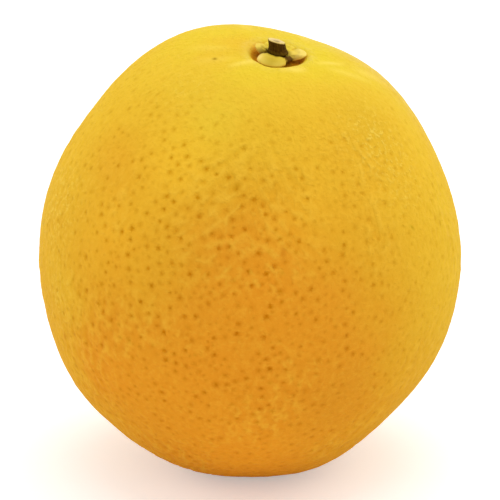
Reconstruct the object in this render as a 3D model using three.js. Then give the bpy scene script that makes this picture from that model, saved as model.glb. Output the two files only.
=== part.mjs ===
// A whole sweet orange as picked, with its calyx and a short cut stalk left on it.
// Millimetres, +Z up. The origin is under the middle of the fruit, on the surface it rests on.
// The stalk end is uppermost and leans a little to +X and to -Y: no fruit grows quite straight.
import * as THREE from "three";

const { degToRad, radToDeg, euclideanModulo, smoothstep } = THREE.MathUtils;

// The fruit's own size.
const WIDTH = 78; // across the middle, along X
const DEPTH = 77.2; // across the middle, along Y
const HEIGHT = 83; // from the resting surface to the crown, before the crown's dip is taken off
const FLATTENING = 1.35; // how far the underside is pressed flat, which sets the flat spot's size
const HALF_HEIGHT = (HEIGHT + FLATTENING) / 2;
const FLAT_SPOT_Z = FLATTENING - HALF_HEIGHT; // seen from the fruit's middle

// The stalk end: a broad dip in the crown, and in it a small steep-sided seat for the calyx.
const STALK_LEAN = 9.6; // degrees from +Z
const STALK_LEAN_TOWARDS = -39; // degrees about +Z, from +X
const DIP_DEPTH = 1.9;
const DIP_SPREAD = 11.5;
const SEAT_DEPTH = 1.4;
const SEAT_RADIUS = 5.1; // to halfway up its wall
const SEAT_WALL = 1.2; // how wide the slope of the wall is
const SEAT_BULGE = 1.75; // added to the radius where one sepal reaches farther than the others
const SEAT_BULGE_TURN = -113; // degrees about the stalk, from the side nearest +X
const SEAT_BULGE_SPREAD = 48;
const FOLDS = 7; // shallow folds of rind that run outwards from the seat
const FOLD_DEPTH = 0.16;
const FOLD_AT = 9; // their distance from the stalk
const FOLD_SPREAD = 4.5;

// Broad swells and hollows of the rind. Turn is about +Z from +X and rise is above the level of
// the fruit's middle, in degrees. Spread is in degrees too. Height is below zero for a hollow.
const SWELLS = [
  { turn: 11, rise: 27, spread: 21, height: -0.95 },
  { turn: 46, rise: 64, spread: 13, height: -0.65 },
  { turn: 128, rise: 65, spread: 16, height: 0.7 },
  { turn: 164, rise: 37, spread: 16, height: -1.25 },
  { turn: 194, rise: -34, spread: 16, height: 0.7 },
  { turn: 226, rise: -60, spread: 14, height: 0.3 },
  { turn: -50, rise: -62, spread: 11, height: 0.4 },
  { turn: -22, rise: -45, spread: 14, height: -0.8 },
  { turn: -100, rise: 8, spread: 30, height: 0.4 },
  { turn: 78, rise: -12, spread: 26, height: 0.5 },
  { turn: 110, rise: 20, spread: 20, height: -0.5 },
  { turn: 40, rise: -38, spread: 20, height: 0.35 },
];

// The calyx: five thick sepals grown together round the stalk, none of them quite even. Turn is
// where the sepal reaches farthest, about the stalk from the side nearest +X, and the sepal fills
// the angles before and after that, all in degrees. Lift is how much higher its tip lies than the
// middle of the calyx.
const GAP = 0.3; // clearance between neighbouring pieces
const CALYX_CORE_RADIUS = 3.2;
const CALYX_THICKNESS = 1.5;
const CALYX_FULLNESS = 0.6; // 1 is an ellipse in section, and less is squarer
const SEPAL_BLUNTNESS = 2.5; // 2 is an elliptical lobe seen from above, and more is blunter
const SEPALS = [
  { turn: -116, before: 42, after: 50, reach: 5.8, lift: -0.2 },
  { turn: 0, before: 22, after: 36, reach: 4.95, lift: 0.5 },
  { turn: 62, before: 26, after: 28, reach: 4.4, lift: 0.1 },
  { turn: 116, before: 28, after: 26, reach: 4.3, lift: 0.4 },
  { turn: 170, before: 30, after: 22, reach: 4.5, lift: 0.7 },
];

// The stalk, cut off a little above the calyx. Its foot stands in a shallow dish in the calyx.
const STALK_RADIUS = 1.6;
const STALK_FOOT_RADIUS = 1.9;
const STALK_OFFSET = 0.2; // how far its foot stands off the calyx's middle, towards -X
const STALK_FOOT_HEIGHT = 0.7;
const STALK_HEIGHT = 2.2;
const STALK_EDGE = 0.25; // the worn edge of the cut
const STALK_BEND = 0.6; // how far the cut end stands off the foot, towards -X
const DISH_DEPTH = 0.7;
const DISH_FLOOR_RADIUS = 2.75;
const DISH_RIM_RADIUS = 3.4;

// Fineness of the meshes.
const FRUIT_AROUND = 64;
const FRUIT_DOWN = 60;
const SEAT_RINGS = 5; // from the stalk to the foot of the seat's wall
const WALL_RINGS = 3; // up the wall
const RING_GROWTH = 1.2; // from there on the rings are closest at the seat, and 1 would be even
const LEAN_FROM = 1; // the rings circle the stalk down to here, in radians from it
const LEAN_TO = 2.7; // and from here on down they circle the flat spot
const LAST_RING = 2.95; // the lowest ring, which lies in the flat spot all round
const CALYX_AROUND = 60;
const CALYX_DOWN = 14;
const STALK_AROUND = 24;

const UP = new THREE.Vector3(0, 0, 1);
const NO_LEAN = new THREE.Quaternion();
const stalkAxis = direction(STALK_LEAN_TOWARDS, 90 - STALK_LEAN);
const stalkLean = new THREE.Quaternion().setFromUnitVectors(UP, stalkAxis);
const swells = SWELLS.map((swell) => ({ ...swell, centre: direction(swell.turn, swell.rise) }));

function direction(turn, rise) {
  const level = Math.cos(degToRad(rise));
  return new THREE.Vector3(
    level * Math.cos(degToRad(turn)),
    level * Math.sin(degToRad(turn)),
    Math.sin(degToRad(rise)),
  );
}

function bell(distance, spread) {
  return Math.exp(-((distance / spread) ** 2));
}

// The shortest way round from one turn to another, in degrees.
function turnPast(turn, from) {
  return euclideanModulo(turn - from + 180, 360) - 180;
}

// Moves every vertex of a unit sphere with its poles on Z to where place() puts it.
function shapedSphere(around, down, place) {
  const geometry = new THREE.SphereGeometry(1, around, down);
  geometry.rotateX(Math.PI / 2);
  const position = geometry.attributes.position;
  const point = new THREE.Vector3();
  for (let index = 0; index < position.count; index += 1) {
    point.fromBufferAttribute(position, index);
    place(point);
    position.setXYZ(index, point.x, point.y, point.z);
  }
  geometry.computeVertexNormals();
  return geometry;
}

function swellHeight(towards) {
  let height = 0;
  for (const swell of swells) {
    height += swell.height * bell(towards.angleTo(swell.centre), degToRad(swell.spread));
  }
  return height;
}

// The distance from the stalk to the foot of the seat's wall.
function wallFoot(turn) {
  const bulge = SEAT_BULGE * bell(turnPast(radToDeg(turn), SEAT_BULGE_TURN), SEAT_BULGE_SPREAD);
  return SEAT_RADIUS + bulge - SEAT_WALL / 2;
}

// How far the rind lies below the full round of the fruit, at a distance from the stalk.
function crownDepth(distance, turn) {
  const dip = DIP_DEPTH * bell(distance, DIP_SPREAD);
  const foot = wallFoot(turn);
  const seat = SEAT_DEPTH * (1 - smoothstep(distance, foot, foot + SEAT_WALL));
  const foldShare = bell(distance - FOLD_AT, FOLD_SPREAD) * smoothstep(distance, foot, FOLD_AT);
  return dip + seat + FOLD_DEPTH * foldShare * Math.cos(FOLDS * turn);
}

// Stretches a direction from the fruit's middle out to the rind.
function stretchToRind(towards, turn) {
  const roundRadius = 1 / Math.hypot(
    (2 * towards.x) / WIDTH,
    (2 * towards.y) / DEPTH,
    towards.z / HALF_HEIGHT,
  );
  const distance = towards.angleTo(stalkAxis) * HALF_HEIGHT;
  const radius = roundRadius + swellHeight(towards) - crownDepth(distance, turn);
  towards.multiplyScalar(radius);
  towards.z = Math.max(towards.z, FLAT_SPOT_Z);
}

// How far round from the stalk a ring lies. The upper rings follow the seat and its wall.
function ringAngle(ring, turn) {
  if (ring === FRUIT_DOWN) return Math.PI;
  const foot = wallFoot(turn) / HALF_HEIGHT;
  if (ring <= SEAT_RINGS) return (foot * ring) / SEAT_RINGS;
  const wall = SEAT_WALL / HALF_HEIGHT;
  const upperRings = SEAT_RINGS + WALL_RINGS;
  if (ring <= upperRings) return foot + (wall * (ring - SEAT_RINGS)) / WALL_RINGS;
  const share = (ring - upperRings) / (FRUIT_DOWN - 1 - upperRings);
  return foot + wall + (LAST_RING - foot - wall) * share ** RING_GROWTH;
}

function fruitGeometry() {
  return shapedSphere(FRUIT_AROUND, FRUIT_DOWN, (point) => {
    const turn = Math.atan2(point.y, point.x);
    const angle = ringAngle(Math.round((point.angleTo(UP) / Math.PI) * FRUIT_DOWN), turn);
    const lean = NO_LEAN.clone().slerp(stalkLean, 1 - smoothstep(angle, LEAN_FROM, LEAN_TO));
    point.set(Math.sin(angle) * Math.cos(turn), Math.sin(angle) * Math.sin(turn), Math.cos(angle));
    point.applyQuaternion(lean);
    stretchToRind(point, turn);
  });
}

// How far the calyx reaches out from the stalk at a turn about it, and how high its edge is lifted.
function calyxEdge(turn) {
  const edge = { reach: CALYX_CORE_RADIUS, lift: 0 };
  for (const sepal of SEPALS) {
    const past = turnPast(turn, sepal.turn);
    const away = past < 0 ? -past / sepal.before : past / sepal.after;
    const share = Math.sqrt(Math.max(0, 1 - away ** SEPAL_BLUNTNESS));
    edge.reach = Math.max(edge.reach, CALYX_CORE_RADIUS + (sepal.reach - CALYX_CORE_RADIUS) * share);
    edge.lift += sepal.lift * share;
  }
  return edge;
}

function dishDepth(distance) {
  return DISH_DEPTH * (1 - smoothstep(distance, DISH_FLOOR_RADIUS, DISH_RIM_RADIUS));
}

function calyxGeometry() {
  return shapedSphere(CALYX_AROUND, CALYX_DOWN, (point) => {
    const turn = radToDeg(Math.atan2(point.y, point.x));
    const level = Math.hypot(point.x, point.y);
    const { reach, lift } = calyxEdge(turn);
    const widening = reach * level ** (CALYX_FULLNESS - 1);
    const dish = point.z > 0 ? dishDepth(level * widening) : 0;
    point.set(
      level > 0 ? point.x * widening : 0,
      level > 0 ? point.y * widening : 0,
      (point.z * CALYX_THICKNESS) / 2 + lift * level ** 2 - dish,
    );
  });
}

function stalkGeometry() {
  const profile = [
    new THREE.Vector2(0, 0),
    new THREE.Vector2(STALK_FOOT_RADIUS, 0),
    new THREE.Vector2(STALK_RADIUS, STALK_FOOT_HEIGHT),
    new THREE.Vector2(STALK_RADIUS, STALK_HEIGHT - STALK_EDGE),
    new THREE.Vector2(STALK_RADIUS - STALK_EDGE, STALK_HEIGHT),
    new THREE.Vector2(0, STALK_HEIGHT),
  ];
  const geometry = new THREE.LatheGeometry(profile, STALK_AROUND).rotateX(Math.PI / 2);
  const bend = new THREE.Matrix4().makeShear(0, 0, 0, 0, -STALK_BEND / STALK_HEIGHT, 0);
  return geometry.applyMatrix4(bend);
}

function namedMesh(name, geometry, look) {
  const mesh = new THREE.Mesh(geometry, new THREE.MeshStandardMaterial(look));
  mesh.name = name;
  return mesh;
}

const fruit = namedMesh("fruit", fruitGeometry(), { color: 0xe6a52e, roughness: 0.5, metalness: 0 });
const calyx = namedMesh("calyx", calyxGeometry(), { color: 0xc9b45a, roughness: 0.75, metalness: 0 });
const stub = namedMesh("stem_stub", stalkGeometry(), { color: 0x3f2a14, roughness: 0.85, metalness: 0 });

// The calyx sits in the seat, and the stalk stands on the calyx, square to the stalk's own axis.
const button = new THREE.Group();
stretchToRind(button.position.copy(stalkAxis), 0);
button.quaternion.copy(stalkLean);
stub.position.x = -STALK_OFFSET;
calyx.position.z = GAP + CALYX_THICKNESS / 2;
stub.position.z = calyx.position.z + CALYX_THICKNESS / 2 - DISH_DEPTH + GAP;
button.add(calyx, stub);

// Stood on its flat spot, with the middle of its width and depth over the origin.
const orange = new THREE.Group();
orange.add(fruit, button);
fruit.geometry.computeBoundingBox();
const { min, max } = fruit.geometry.boundingBox;
orange.position.set(-(min.x + max.x) / 2, -(min.y + max.y) / 2, -min.z);

export default orange;
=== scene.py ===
# An orange as picked: the whole fruit, the calyx in the dip at its stalk end, and a short cut
# stalk. Metres, +Z up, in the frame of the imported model.
import math
import random

import bmesh
import bpy
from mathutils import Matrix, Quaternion, Vector, geometry, interpolate, kdtree, noise
from mathutils.bvhtree import BVHTree


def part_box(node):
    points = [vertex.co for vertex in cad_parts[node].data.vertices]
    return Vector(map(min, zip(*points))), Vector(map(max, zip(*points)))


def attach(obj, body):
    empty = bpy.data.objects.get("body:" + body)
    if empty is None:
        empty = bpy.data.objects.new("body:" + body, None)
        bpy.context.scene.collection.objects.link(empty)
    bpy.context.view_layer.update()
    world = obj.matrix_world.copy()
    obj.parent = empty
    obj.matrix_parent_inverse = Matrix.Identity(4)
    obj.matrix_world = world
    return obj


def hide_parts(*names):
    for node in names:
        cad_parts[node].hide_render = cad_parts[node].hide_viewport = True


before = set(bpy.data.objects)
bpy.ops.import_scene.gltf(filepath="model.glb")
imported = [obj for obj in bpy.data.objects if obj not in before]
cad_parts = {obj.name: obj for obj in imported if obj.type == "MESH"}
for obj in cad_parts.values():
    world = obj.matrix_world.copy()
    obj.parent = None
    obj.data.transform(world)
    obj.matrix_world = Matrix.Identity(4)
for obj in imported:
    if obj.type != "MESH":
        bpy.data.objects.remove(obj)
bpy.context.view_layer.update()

MM = 0.001
UP = Vector((0, 0, 1))

# ----------------------------------------
# The studio. The fruit stands on a plain white table and is seen from a little above the front,
# from well back, so that its outline is hardly bent by perspective.

fruit_low, fruit_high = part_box("fruit")
fruit_middle = (fruit_low + fruit_high) / 2

CAMERA_DISTANCE = 0.6
CAMERA_RISE = math.radians(20)
CAMERA_LENS = 233.6  # on a 36 mm sensor: the fruit fills most of the frame

towards_camera = Vector((0, -math.cos(CAMERA_RISE), math.sin(CAMERA_RISE)))
camera = bpy.data.objects.new("camera", bpy.data.cameras.new("camera"))
camera.data.lens = CAMERA_LENS
camera.location = fruit_middle + towards_camera * CAMERA_DISTANCE
camera.rotation_euler = towards_camera.to_track_quat("Z", "Y").to_euler()
bpy.context.scene.collection.objects.link(camera)
bpy.context.scene.camera = camera
bpy.context.scene.view_settings.view_transform = "Standard"


def add_node(tree, kind, inputs=None, **settings):
    """A new shader node. An input that is a socket is linked, and a plain value is set."""
    new = tree.nodes.new(kind)
    for name, value in settings.items():
        setattr(new, name, value)
    for name, value in (inputs or {}).items():
        socket = new.inputs[name]
        if isinstance(value, bpy.types.NodeSocket):
            tree.links.new(value, socket)
        else:
            socket.default_value = value
    return new


def new_material(name):
    """An empty material, its node tree, and the output node."""
    material = bpy.data.materials.new(name)
    material.use_nodes = True
    material.node_tree.nodes.clear()
    output = material.node_tree.nodes.new("ShaderNodeOutputMaterial")
    return material, material.node_tree, output


def new_piece(name, bm, material):
    """A finished mesh as an object at the origin, smooth shaded, with its material."""
    mesh = bpy.data.meshes.new(name)
    bm.to_mesh(mesh)
    bm.free()
    mesh.shade_smooth()
    mesh.materials.append(material)
    piece = bpy.data.objects.new(name, mesh)
    bpy.context.scene.collection.objects.link(piece)
    return piece


TABLE_SIZE = 4
TABLE_WHITE = (0.92, 0.92, 0.92, 1)
TABLE_GLOW = 0.35  # what the camera sees besides the lit table, to bring it up to paper white

table_material, tree, output = new_material("white_table")
table_seen = add_node(tree, "ShaderNodeLightPath")
table_shader = add_node(tree, "ShaderNodeBsdfPrincipled", {
    "Base Color": TABLE_WHITE,
    "Roughness": 0.9,
    "Specular IOR Level": 0.1,
    "Emission Color": (1, 1, 1, 1),
})
table_glow = add_node(tree, "ShaderNodeMath", {
    0: table_seen.outputs["Is Camera Ray"],
    1: TABLE_GLOW,
}, operation="MULTIPLY")
tree.links.new(table_glow.outputs[0], table_shader.inputs["Emission Strength"])
tree.links.new(table_shader.outputs[0], output.inputs["Surface"])

bm = bmesh.new()
bmesh.ops.create_grid(bm, x_segments=1, y_segments=1, size=TABLE_SIZE / 2)
table = new_piece("table", bm, table_material)

WORLD_LIGHT = 0.62
world = bpy.data.worlds.new("studio")
world.use_nodes = True
tree = world.node_tree
tree.nodes.clear()
room_seen = add_node(tree, "ShaderNodeLightPath")
room_strength = add_node(tree, "ShaderNodeMix", {
    "Factor": room_seen.outputs["Is Camera Ray"],
    "A": WORLD_LIGHT,
    "B": 1.0,
}, data_type="FLOAT")
room = add_node(tree, "ShaderNodeBackground", {
    "Color": (1, 1, 1, 1),
    "Strength": room_strength.outputs["Result"],
})
output = add_node(tree, "ShaderNodeOutputWorld", {"Surface": room.outputs[0]})
bpy.context.scene.world = world


def add_lamp(name, place, size, power):
    """A square softbox that faces the fruit."""
    lamp = bpy.data.objects.new(name, bpy.data.lights.new(name, "AREA"))
    lamp.data.shape = "SQUARE"
    lamp.data.size = size
    lamp.data.energy = power
    lamp.location = place
    lamp.rotation_euler = (Vector(place) - fruit_middle).to_track_quat("Z", "Y").to_euler()
    bpy.context.scene.collection.objects.link(lamp)


add_lamp("top_softbox", (0.05, 0.05, 0.9), 0.8, 3.2)
add_lamp("left_softbox", (-0.75, 0.35, 0.2), 0.6, 2.2)
add_lamp("right_softbox", (0.7, 0.35, 0.45), 0.6, 2.0)
add_lamp("front_softbox", (0, -0.9, 0.04), 0.5, 1.5)

# ----------------------------------------
# The fruit: one round of rind over the flesh, grown as one piece. The rind is waxy and is pitted
# all over by its oil glands. It is yellow round the stalk and a fuller orange lower down.

CUTS_PER_SIDE = 127
CROWN_FINENESS = 0.45  # how much closer together the mesh is at the stalk than elsewhere
CROWN_SPREAD = 0.35
FACET_ROUNDING = 0.5  # this much of the way from flat facets to their corners' tangent planes
SMOOTHING_PASSES = 6
SEAT_PASSES = 2  # the wall of the seat is steep, and stays so with fewer
SEAT_ZONE = 9 * MM  # from the stalk

UNDULATION_WAVE = 11 * MM
UNDULATION_DEPTH = 0.09 * MM
PEBBLE_WAVE = 1.9 * MM
PEBBLE_DEPTH = 0.08 * MM
CREASE_DEPTH = 0.14 * MM
PORE_DEPTH = 0.1 * MM
CROWN_PEBBLED = 0.2  # how pebbled the skin is round the stalk, for 1 elsewhere
GLINT_PEBBLED = 0.6  # added where the crests carry painted glints
WRINKLE_DEPTH = 0.1 * MM
WRINKLES_AT = 8 * MM  # from the stalk
WRINKLES_SPREAD = 3.5 * MM
WRINKLES_ROUND = 4  # the higher this is, the more of them there are round the stalk
LIP_HEIGHT = 0.23 * MM  # the rind swells round the seat, most at the front
LIP_AT = 1.0 * MM  # past the middle of the seat's wall
LIP_SPREAD = 1.3 * MM
LIP_HIGHEST = math.radians(-70)  # about the stalk, from +X
LIP_MEAN = 0.6  # its height halfway between its highest and its lowest, for 1 at the highest
SCAR_DEPTH = 0.4 * MM  # where the flower dropped off, opposite the stalk
SCAR_SPREAD = 2.2 * MM

PORE_SEED = 7
LARGE_PORE_SPACING = 1.65 * MM
LARGE_PORE_SHARE = 0.85  # how many of the places at that spacing have one
SMALL_PORE_SPACING = 1.05 * MM
SMALL_PORE_SHARE = 0.45
LARGE_PORE_RADIUS = 0.44 * MM
SMALL_PORE_RADIUS = 0.32 * MM
PORE_SIZES = (0.75, 1.2)  # as shares of that radius
LARGE_PORE_STRENGTHS = (0.3, 1.4)
SMALL_PORE_STRENGTHS = (0.12, 0.6)
PORE_RARITY = 1.4  # above 1, most pores are nearer to the weakest
PORES_START = 11 * MM  # there are none nearer to the stalk than this
PORES_FULL = 32 * MM  # and from here on they are at their strongest
CROWN_PORED = 0.15  # the share of their strength that those nearest to it have


def merged_copy(node_name):
    """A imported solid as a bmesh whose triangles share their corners."""
    copy = bmesh.new()
    copy.from_mesh(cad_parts[node_name].data)
    bmesh.ops.remove_doubles(copy, verts=copy.verts, dist=0.001 * MM)
    copy.normal_update()
    copy.faces.ensure_lookup_table()
    return copy


FLAT_END_FACING = 0.9  # the least cosine between the way a flat end faces and the way asked for


def flat_end(solid, facing):
    """The middle of the flat end of a solid that faces a given way, and the end's own direction."""
    faces = [face for face in solid.faces if face.normal.dot(facing) > FLAT_END_FACING]
    area = sum(face.calc_area() for face in faces)
    middle = sum((face.calc_center_median() * face.calc_area() for face in faces), Vector()) / area
    direction = sum((face.normal * face.calc_area() for face in faces), Vector()).normalized()
    return middle, direction


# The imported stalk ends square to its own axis, which leans a little from upright.
solid_stub = merged_copy("stem_stub")
stub_top, stalk_axis = flat_end(solid_stub, UP)
stub_foot, _ = flat_end(solid_stub, -stalk_axis)
solid_stub.free()
stalk_turn = UP.rotation_difference(stalk_axis)


def bell(distance, spread):
    return math.exp(-((distance / spread) ** 2))


def smooth_step(value, low, high):
    share = min(max((value - low) / (high - low), 0), 1)
    return share * share * (3 - 2 * share)


def rounded_hit(towards):
    """Where a line from the fruit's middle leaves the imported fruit, with its facets rounded off."""
    place, _, face_index, _ = solid_fruit_tree.ray_cast(fruit_middle, towards)
    corners = solid_fruit.faces[face_index].verts
    weights = interpolate.poly_3d_calc([corner.co for corner in corners], place)
    rounded = Vector()
    for corner, weight in zip(corners, weights):
        rounded += weight * (place - (place - corner.co).dot(corner.normal) * corner.normal)
    return place.lerp(rounded, FACET_ROUNDING)


def spread_towards(corner):
    """Turns a point on a cube's face into an even direction, drawn in towards the stalk."""
    even = Vector([math.tan(side * math.pi / 4) for side in corner]).normalized()
    angle = even.angle(UP)
    if angle > 0:
        drawn_in = angle * (1 - CROWN_FINENESS * bell(angle, CROWN_SPREAD))
        even = Quaternion(UP.cross(even), drawn_in) @ UP
    return stalk_turn @ even


solid_fruit = merged_copy("fruit")
solid_fruit_tree = BVHTree.FromBMesh(solid_fruit)
seat_centre = rounded_hit(stalk_axis)

rind = bmesh.new()
bmesh.ops.create_cube(rind, size=2)
bmesh.ops.subdivide_edges(rind, edges=rind.edges[:], cuts=CUTS_PER_SIDE, use_grid_fill=True)
for vert in rind.verts:
    vert.co = rounded_hit(spread_towards(vert.co))


def stalk_distance(place):
    """How far a point of the rind is from the stalk, measured over the surface."""
    return (place - fruit_middle).angle(stalk_axis) * (fruit_high - fruit_low).z / 2


for smoothing in range(SMOOTHING_PASSES):
    start = SEAT_ZONE if smoothing >= SEAT_PASSES else 0
    verts = [vert for vert in rind.verts if stalk_distance(vert.co) >= start]
    bmesh.ops.smooth_vert(rind, verts=verts, factor=0.5, use_axis_x=True, use_axis_y=True,
                          use_axis_z=True)
rind.normal_update()


def scatter(places, spacing, kept):
    """Picks places in turn, leaving out each that is nearer than spacing to one picked before."""
    cells = {}

    def cell_of(place):
        return tuple(math.floor(side / spacing) for side in place)

    def is_clear(place):
        x, y, z = cell_of(place)
        for i in (x - 1, x, x + 1):
            for j in (y - 1, y, y + 1):
                for k in (z - 1, z, z + 1):
                    for other in cells.get((i, j, k), ()):
                        if (place - other).length < spacing:
                            return False
        return True

    for place in kept:
        cells.setdefault(cell_of(place), []).append(place)
    picked = []
    for place in places:
        if is_clear(place):
            cells.setdefault(cell_of(place), []).append(place)
            picked.append(place)
    return picked


random.seed(PORE_SEED)
candidates = [vert.co.copy() for vert in rind.verts]
random.shuffle(candidates)
large_pores = scatter(candidates, LARGE_PORE_SPACING, [])
large_pores = [place for place in large_pores if random.random() < LARGE_PORE_SHARE]
small_pores = scatter(candidates, SMALL_PORE_SPACING, large_pores)
small_pores = [place for place in small_pores if random.random() < SMALL_PORE_SHARE]

# The pores are deepest at the front, nearly as deep at the back and shallow at the sides, and their
# painted shade with them.
PORED_SIDE = Vector((-0.17, -1, 0.15)).normalized()
PORED_SPREAD = math.radians(54)
LEAST_PORED = 0.18
BACK_PORED = 0.7  # how deep they are at the back, for 1 at the front


def pore_depth_share(place):
    from_front = (place - fruit_middle).angle(PORED_SIDE)
    side = bell(from_front, PORED_SPREAD) + BACK_PORED * bell(math.pi - from_front, PORED_SPREAD)
    from_crown = smooth_step(stalk_distance(place), PORES_START, PORES_FULL)
    crown_share = CROWN_PORED + (1 - CROWN_PORED) * from_crown
    return (LEAST_PORED + (1 - LEAST_PORED) * side) * crown_share


pores = []
for places, radius, (weakest, strongest) in (
    (large_pores, LARGE_PORE_RADIUS, LARGE_PORE_STRENGTHS),
    (small_pores, SMALL_PORE_RADIUS, SMALL_PORE_STRENGTHS),
):
    for place in places:
        size = radius * random.uniform(*PORE_SIZES)
        strength = weakest + (strongest - weakest) * random.random() ** PORE_RARITY
        pores.append((place, size, strength * pore_depth_share(place)))

pore_finder = kdtree.KDTree(len(pores))
for index, (place, size, strength) in enumerate(pores):
    pore_finder.insert(place, index)
pore_finder.balance()

# Each face holds the way to its nearest pore at every corner, in that pore's radii, so that the
# outline of the pore doesn't depend on the mesh's own points.
pore_ways = []
pore_strengths = []
for face in rind.faces:
    _, index, _ = pore_finder.find(face.calc_center_median())
    place, size, strength = pores[index]
    for loop in face.loops:
        pore_ways.extend((loop.vert.co - place) / size)
        pore_strengths.append(strength)

# The rind is a fuller orange on one side, a blush, than round the sides at the same height, where it
# is painted yellower and lighter: partly the fruit's own colour and partly painted light on the
# sides.
BLUSH_SIDE = Vector((0, -1, 0.3)).normalized()
BLUSH_SPREAD = math.radians(58)
SIDES_RIPENESS = 0.4
BLUSH_RIPENESS = 0.75  # added to the sides' ripeness
CROWN_WIDTH = 10.7 * MM  # round the stalk neither the blush nor the painted light of the sides makes a difference

# Patches that are riper or less ripe than the rind round them, which leaves shaded. Turn is about
# +Z from +X and rise is above the level of the fruit's middle. Spread is in degrees too.
RIPE_PATCHES = (
    {"turn": -55, "rise": 45, "spread": 17, "riper": 10},
    {"turn": -140, "rise": 40, "spread": 12, "riper": 12},
    {"turn": -115, "rise": 7, "spread": 13, "riper": -10},
    {"turn": -85, "rise": 12, "spread": 8, "riper": 6},
    {"turn": -20, "rise": 0, "spread": 25, "riper": -11},
    {"turn": -90, "rise": 30, "spread": 12, "riper": 6},
    {"turn": -105, "rise": 50, "spread": 8, "riper": -8},
    {"turn": -100, "rise": -55, "spread": 17, "riper": 8},
    {"turn": -135, "rise": -20, "spread": 10, "riper": 10},
    {"turn": -150, "rise": 0, "spread": 9, "riper": -8},
    {"turn": -115, "rise": 85, "spread": 7, "riper": 10},
    {"turn": -130, "rise": 74, "spread": 5, "riper": 5},
    {"turn": 35, "rise": 30, "spread": 15, "riper": 8},
    {"turn": 75, "rise": -10, "spread": 18, "riper": -7},
    {"turn": 100, "rise": 40, "spread": 12, "riper": -7},
    {"turn": 125, "rise": 10, "spread": 14, "riper": 9},
    {"turn": 170, "rise": -20, "spread": 16, "riper": -6},
    {"turn": 60, "rise": -40, "spread": 15, "riper": 8},
    {"turn": 140, "rise": -50, "spread": 13, "riper": 6},
)
# Patches of painted light and shade: the skin's colour is painted lighter or darker there, as a share
# of its own shade.
PAINTED_LIGHT_PATCHES = (
    {"turn": -115, "rise": 40, "spread": 11, "lighter": 0.10},
    {"turn": -130, "rise": 20, "spread": 11, "lighter": 0.08},
    {"turn": -75, "rise": 28, "spread": 12, "lighter": 0.06},
    {"turn": -40, "rise": 50, "spread": 10, "lighter": -0.07},
    {"turn": -65, "rise": -25, "spread": 14, "lighter": -0.08},
    {"turn": -90, "rise": -15, "spread": 16, "lighter": -0.05},
    {"turn": -90, "rise": -50, "spread": 13, "lighter": 0.07},
    {"turn": 45, "rise": 15, "spread": 16, "lighter": 0.06},
    {"turn": 115, "rise": -25, "spread": 14, "lighter": -0.06},
)


def direction(turn, rise):
    """The way from the fruit's middle at a turn and a rise in degrees."""
    level = math.cos(math.radians(rise))
    return Vector((
        level * math.cos(math.radians(turn)),
        level * math.sin(math.radians(turn)),
        math.sin(math.radians(rise)),
    ))


def placed(patches, key):
    """Patches as the way to their middle, their spread in radians, and their strength."""
    return [(direction(patch["turn"], patch["rise"]), math.radians(patch["spread"]), patch[key])
            for patch in patches]


def patches_at(patches, towards):
    """What a list of placed patches adds up to in a direction from the fruit's middle."""
    return sum(strength * bell(towards.angle(middle), spread)
               for middle, spread, strength in patches)


ripe_patches = placed(RIPE_PATCHES, "riper")
painted_light_patches = placed(PAINTED_LIGHT_PATCHES, "lighter")


def ripeness_at(towards, from_stalk):
    """How ripe the rind is, which grows with its distance from the stalk in mm."""
    share = SIDES_RIPENESS + BLUSH_RIPENESS * bell(towards.angle(BLUSH_SIDE), BLUSH_SPREAD)
    crown = bell(from_stalk, CROWN_WIDTH)
    return from_stalk / MM * (crown + share * (1 - crown)) + patches_at(ripe_patches, towards)


# On the sunny side the rind stretched into low creases that fan out from one place. Elsewhere they
# run straight away from the stalk, in patches.
FAN_MIDDLE = Vector((-0.02, -0.88, 0.47))
FAN_WIDTH = 19 * MM
FAN_SLANT = math.radians(42)
FAN_SPLIT = -3  # where its two halves meet, in mm across the creases
FAN_EDGE = 0.35  # it begins where its bell rises to this
FAN_FULL = 0.75
FAN_CLEAR = 0.2  # and the other creases are whole again where the bell has fallen to this
FRUIT_RADIUS = 40 * MM
CREASE_RADIUS = 33  # mm from the stalk's axis, to turn angles into distances
CREASE_WAVE = 1.9
CREASE_LENGTH = 4.5
CREASE_SHARPNESS = 2.6
CREASE_SLICE = 3  # of the noise that makes them
CREASE_PATCH = 15 * MM
CREASE_PATCH_EDGES = (-0.2, 0.35)
CREASES_FADE = math.radians(150)  # there are none along the back, where the turn jumps
CREASES_END = math.radians(172)


def crease_frame(place, from_stalk):
    """How far a point is across and along the creases, in mm, and how strong they are there."""
    level = stalk_turn.inverted() @ (place - fruit_middle)
    turn = math.atan2(level.x, -level.y)
    across = CREASE_RADIUS * turn
    along = from_stalk / MM
    fan = bell((place - fruit_middle).angle(FAN_MIDDLE) * FRUIT_RADIUS, FAN_WIDTH)
    if fan > FAN_EDGE:
        out = abs(across - FAN_SPLIT)
        across = out * math.cos(FAN_SLANT) - along * math.sin(FAN_SLANT)
        along = out * math.sin(FAN_SLANT) + along * math.cos(FAN_SLANT)
        return across, along, smooth_step(fan, FAN_EDGE, FAN_FULL)
    patch = smooth_step(noise.noise(place / CREASE_PATCH), *CREASE_PATCH_EDGES)
    patch *= smooth_step(abs(turn), CREASES_END, CREASES_FADE)
    return across, along, patch * smooth_step(fan, FAN_EDGE, FAN_CLEAR)


def crease_height(across, along):
    """Ridges about 1 high, with round crests."""
    wave = noise.noise(Vector((across / CREASE_WAVE, along / CREASE_LENGTH, CREASE_SLICE)))
    return 1 - min(abs(CREASE_SHARPNESS * wave), 1)


SEAT_RADIUS = 4.77 * MM  # to halfway up the seat's wall
SEAT_BULGE = 1.64 * MM  # added to it under the longest sepal
SEAT_BULGE_TURN = math.radians(-113)  # about the stalk, from +X
SEAT_BULGE_SPREAD = math.radians(48)
NEAR_STALK = 20 * MM
CROWN_ZONE = 25 * MM


def seat_radius_at(turn):
    past = (turn - SEAT_BULGE_TURN + math.pi) % math.tau - math.pi
    return SEAT_RADIUS + SEAT_BULGE * bell(past, SEAT_BULGE_SPREAD)


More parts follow.
